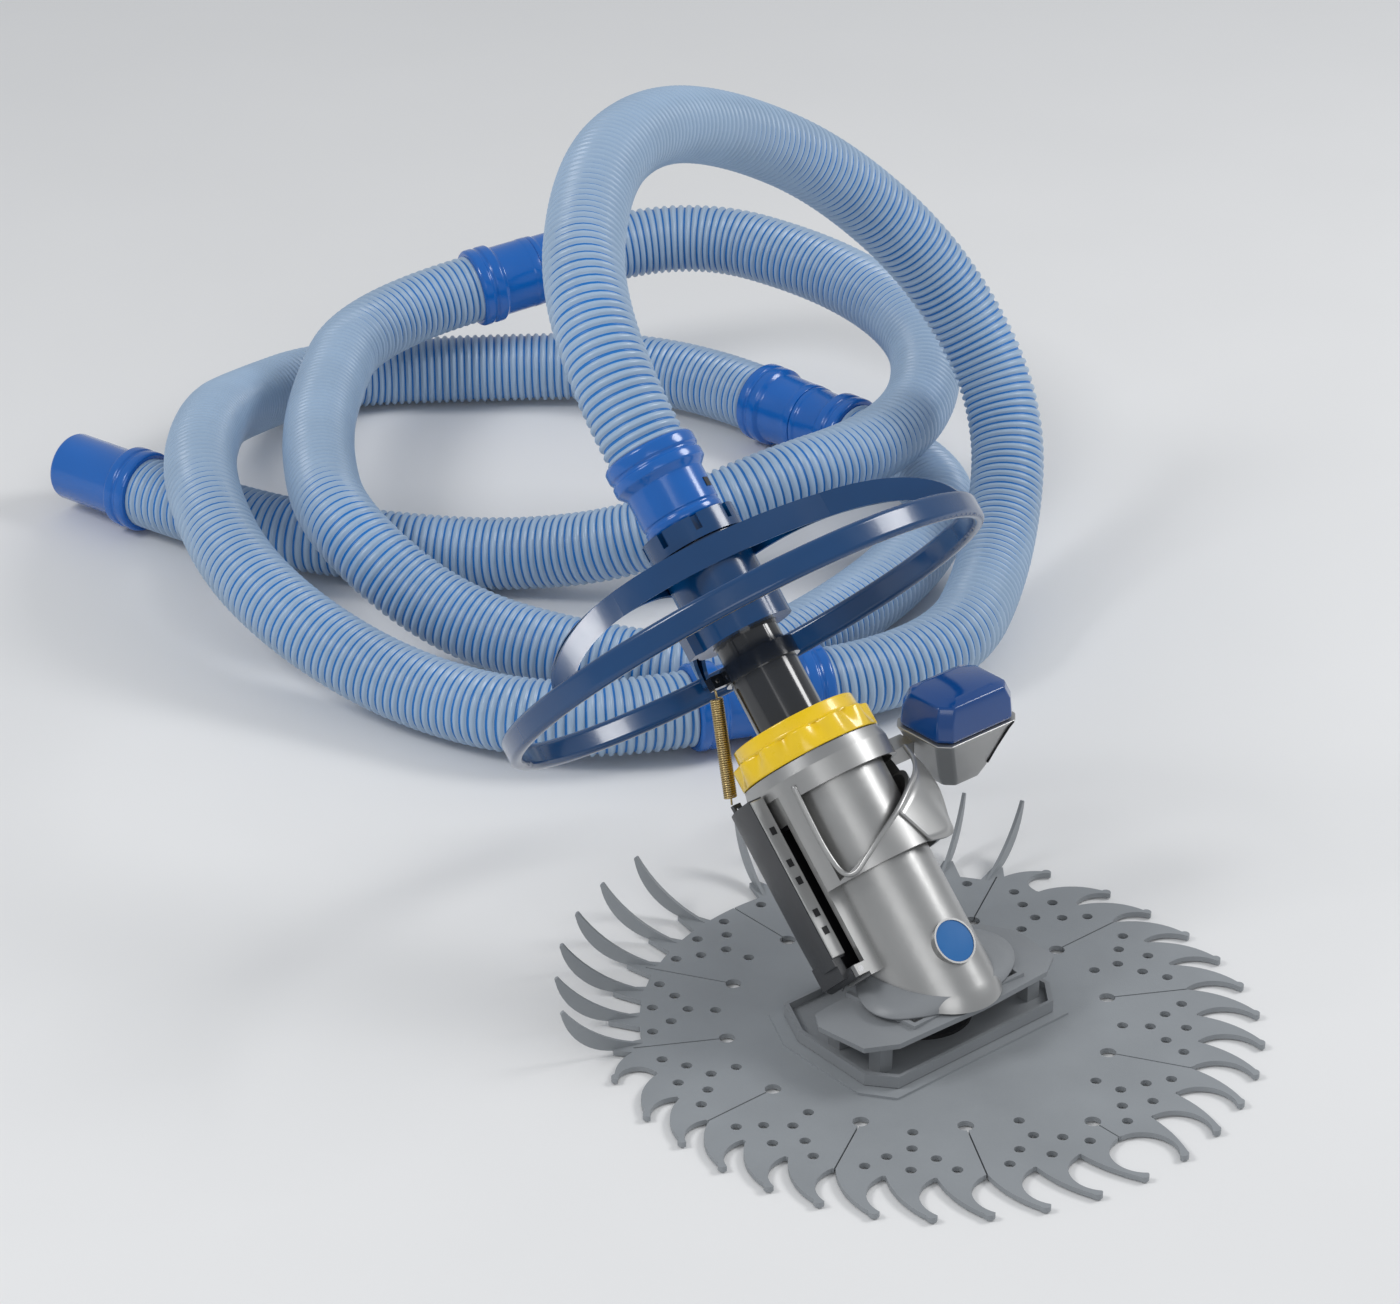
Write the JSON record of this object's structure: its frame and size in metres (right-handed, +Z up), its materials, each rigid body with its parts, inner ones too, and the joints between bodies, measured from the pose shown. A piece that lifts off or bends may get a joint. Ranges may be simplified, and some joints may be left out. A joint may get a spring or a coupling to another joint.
{
  "type": "suction pool cleaner with hose",
  "caption": "Suction pool cleaner head leaning on a finned flexible disc, with deflector wheel, side door, float and a long ribbed hose in joined sections.",
  "frame": {"origin": "on the floor, centre of the finned disc", "axes": "+Z up, -Y towards the rounded nose of the head, the pipe leans back towards +Y, +X to the side that carries the float"},
  "size_m": [0.8018, 1.1934, 0.4245],
  "materials": {
    "disc_rubber": "satin",
    "grey_plastic": "satin",
    "silver_paint": "metallic satin",
    "dark_plastic": "satin",
    "door_grey": "satin",
    "yellow": "gloss",
    "black_pipe": "gloss",
    "navy": "gloss",
    "cuff_blue": "gloss",
    "cap_blue": "gloss",
    "badge_blue": "gloss",
    "hose_grey": "satin",
    "seal_rubber": "matte",
    "brass": "zinc dichromate",
    "steel": "bright"
  },
  "bodies": {
    "head": {"badge": "badge_blue", "badge_rim": "silver_paint", "cassette": "dark_plastic", "compression_ring": "dark_plastic", "cuff_0": "cuff_blue", "cuff_1a": "cuff_blue", "cuff_1b": "cuff_blue", "cuff_2a": "cuff_blue", "cuff_2b": "cuff_blue", "cuff_3a": "cuff_blue", "cuff_3b": "cuff_blue", "cuff_4": "cuff_blue", "cuff_seal_1": "seal_rubber", "cuff_seal_2": "seal_rubber", "cuff_seal_3": "seal_rubber", "diaphragm": "seal_rubber", "diaphragm_ring": "dark_plastic", "door_pin": "steel", "float_ballast": "steel", "float_bracket": "silver_paint", "float_cap": "cap_blue", "float_shell": "silver_paint", "foot_pad": "seal_rubber", "foot_screws": "steel", "foot_seal": "seal_rubber", "foot_tray": "grey_plastic", "foot_wing": "grey_plastic", "hose_1": "hose_grey", "hose_2": "hose_grey", "hose_3": "hose_grey", "hose_4": "hose_grey", "inner_pipe": "black_pipe", "lock_stud": "dark_plastic", "lower_body": "silver_paint", "lug_ring": "black_pipe", "neck_seal": "seal_rubber", "outer_pipe": "black_pipe", "pipe_socket": "dark_plastic", "shroud": "silver_paint", "spring": "brass", "top_collar": "navy", "top_ring": "silver_paint", "wheel_bush": "black_pipe"},
    "disc": {"disc": "disc_rubber"},
    "nut": {"pipe_nut": "yellow"},
    "wheel": {"wheel_hub": "navy", "wheel_hoop": "navy"},
    "door": {"door": "door_grey"}
  },
  "joints": [
    {"name": "disc_spin", "type": "hinge", "parent": "head", "child": "disc", "pos_m": [0, 0, 0], "axis": [0, 0, 1], "continuous": true},
    {"name": "wheel_spin", "type": "hinge", "parent": "head", "child": "wheel", "pos_m": [0, 0, 0.043], "axis": [0, 0.7071, 0.7071], "continuous": true},
    {"name": "nut_turn", "type": "hinge", "parent": "head", "child": "nut", "pos_m": [0, 0, 0.043], "axis": [0, 0.7071, 0.7071], "range_deg": [0, 90]},
    {"name": "door_swing", "type": "hinge", "parent": "head", "child": "door", "pos_m": [-0.051, 0.00849, 0.05149], "axis": [0, -0.7071, 0.7071], "range_deg": [0, 35], "stiffness_Nm_per_rad": 0.6, "springref_deg": -17.19, "deforming": ["spring"]}
  ]
}
